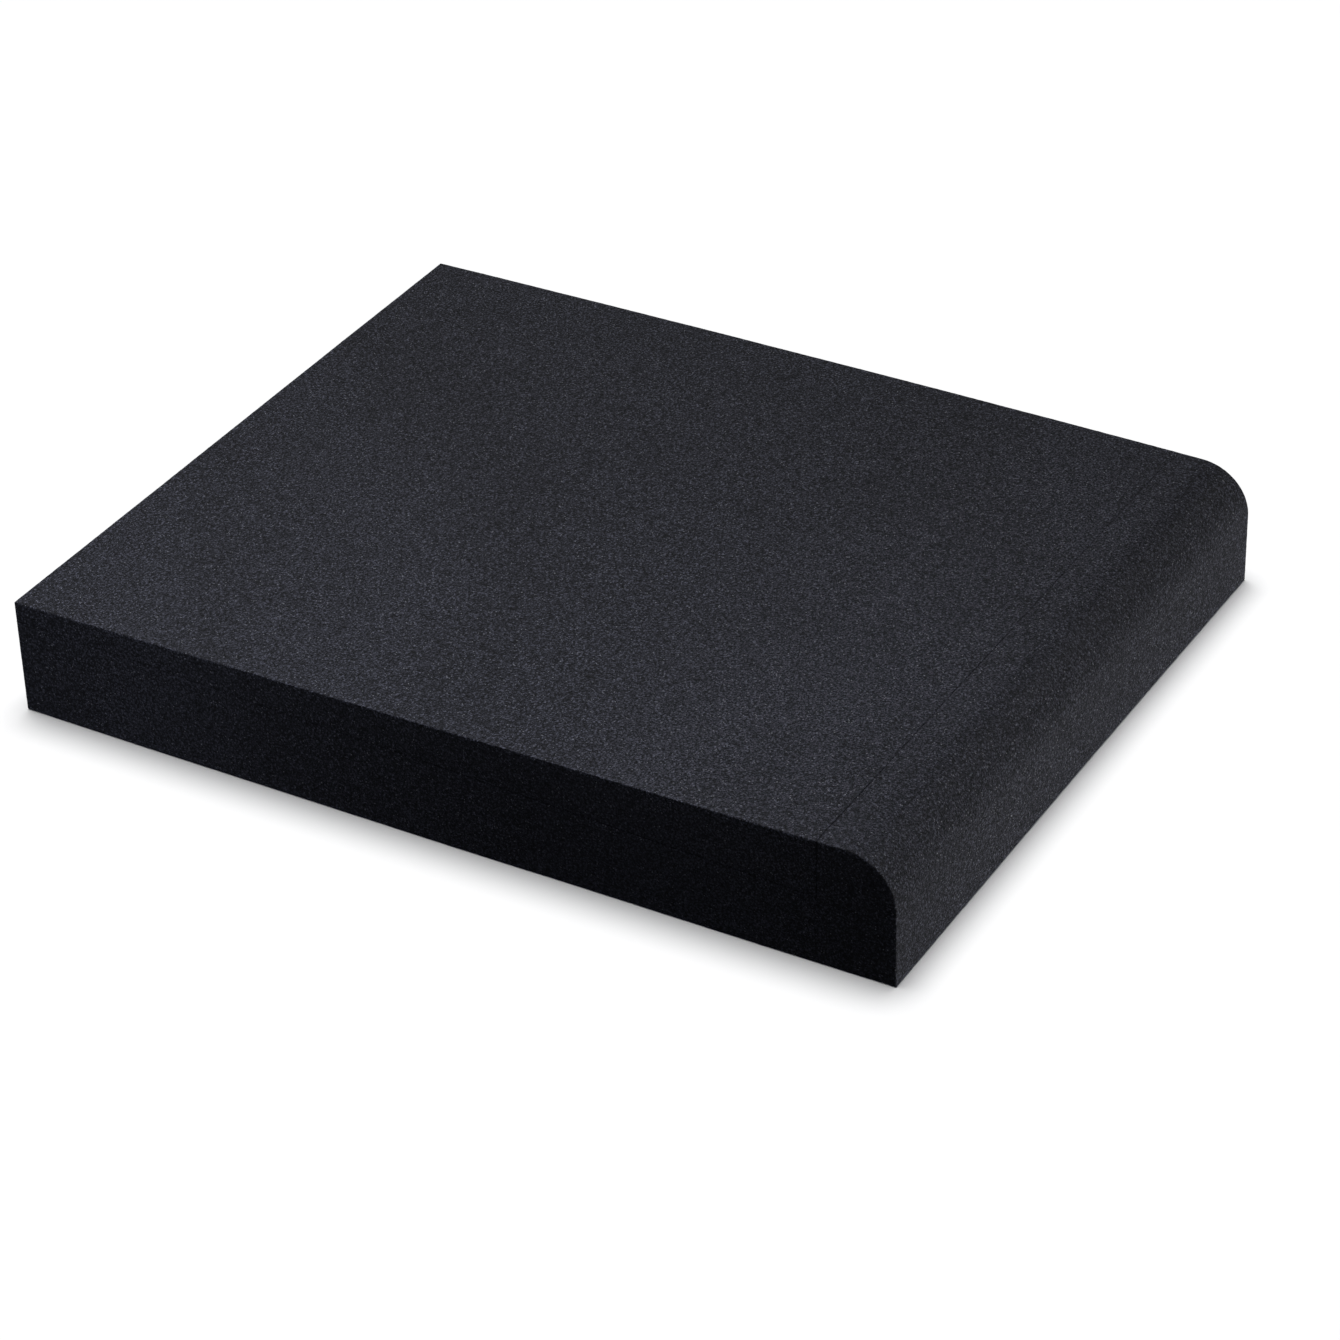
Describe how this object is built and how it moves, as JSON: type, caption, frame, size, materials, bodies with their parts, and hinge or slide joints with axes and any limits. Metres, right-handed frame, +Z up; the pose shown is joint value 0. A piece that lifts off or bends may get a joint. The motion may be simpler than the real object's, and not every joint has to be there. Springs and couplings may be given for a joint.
{
  "type": "speaker isolation pad",
  "caption": "Black foam pad with a rounded front edge and a removable foam wedge lying in its sloping recess, for a monitor speaker to stand on.",
  "frame": {"origin": "middle of the underside, where the pad rests on the desk", "axes": "+Z up, the rounded front edge faces -Y, the width runs along X"},
  "size_m": [0.265, 0.33, 0.045],
  "materials": {
    "black_foam": "matte open-cell foam, fine cut cells with small bright specks"
  },
  "bodies": {
    "root": {"base_pad": "black_foam", "wedge_insert": "black_foam"}
  },
  "joints": []
}
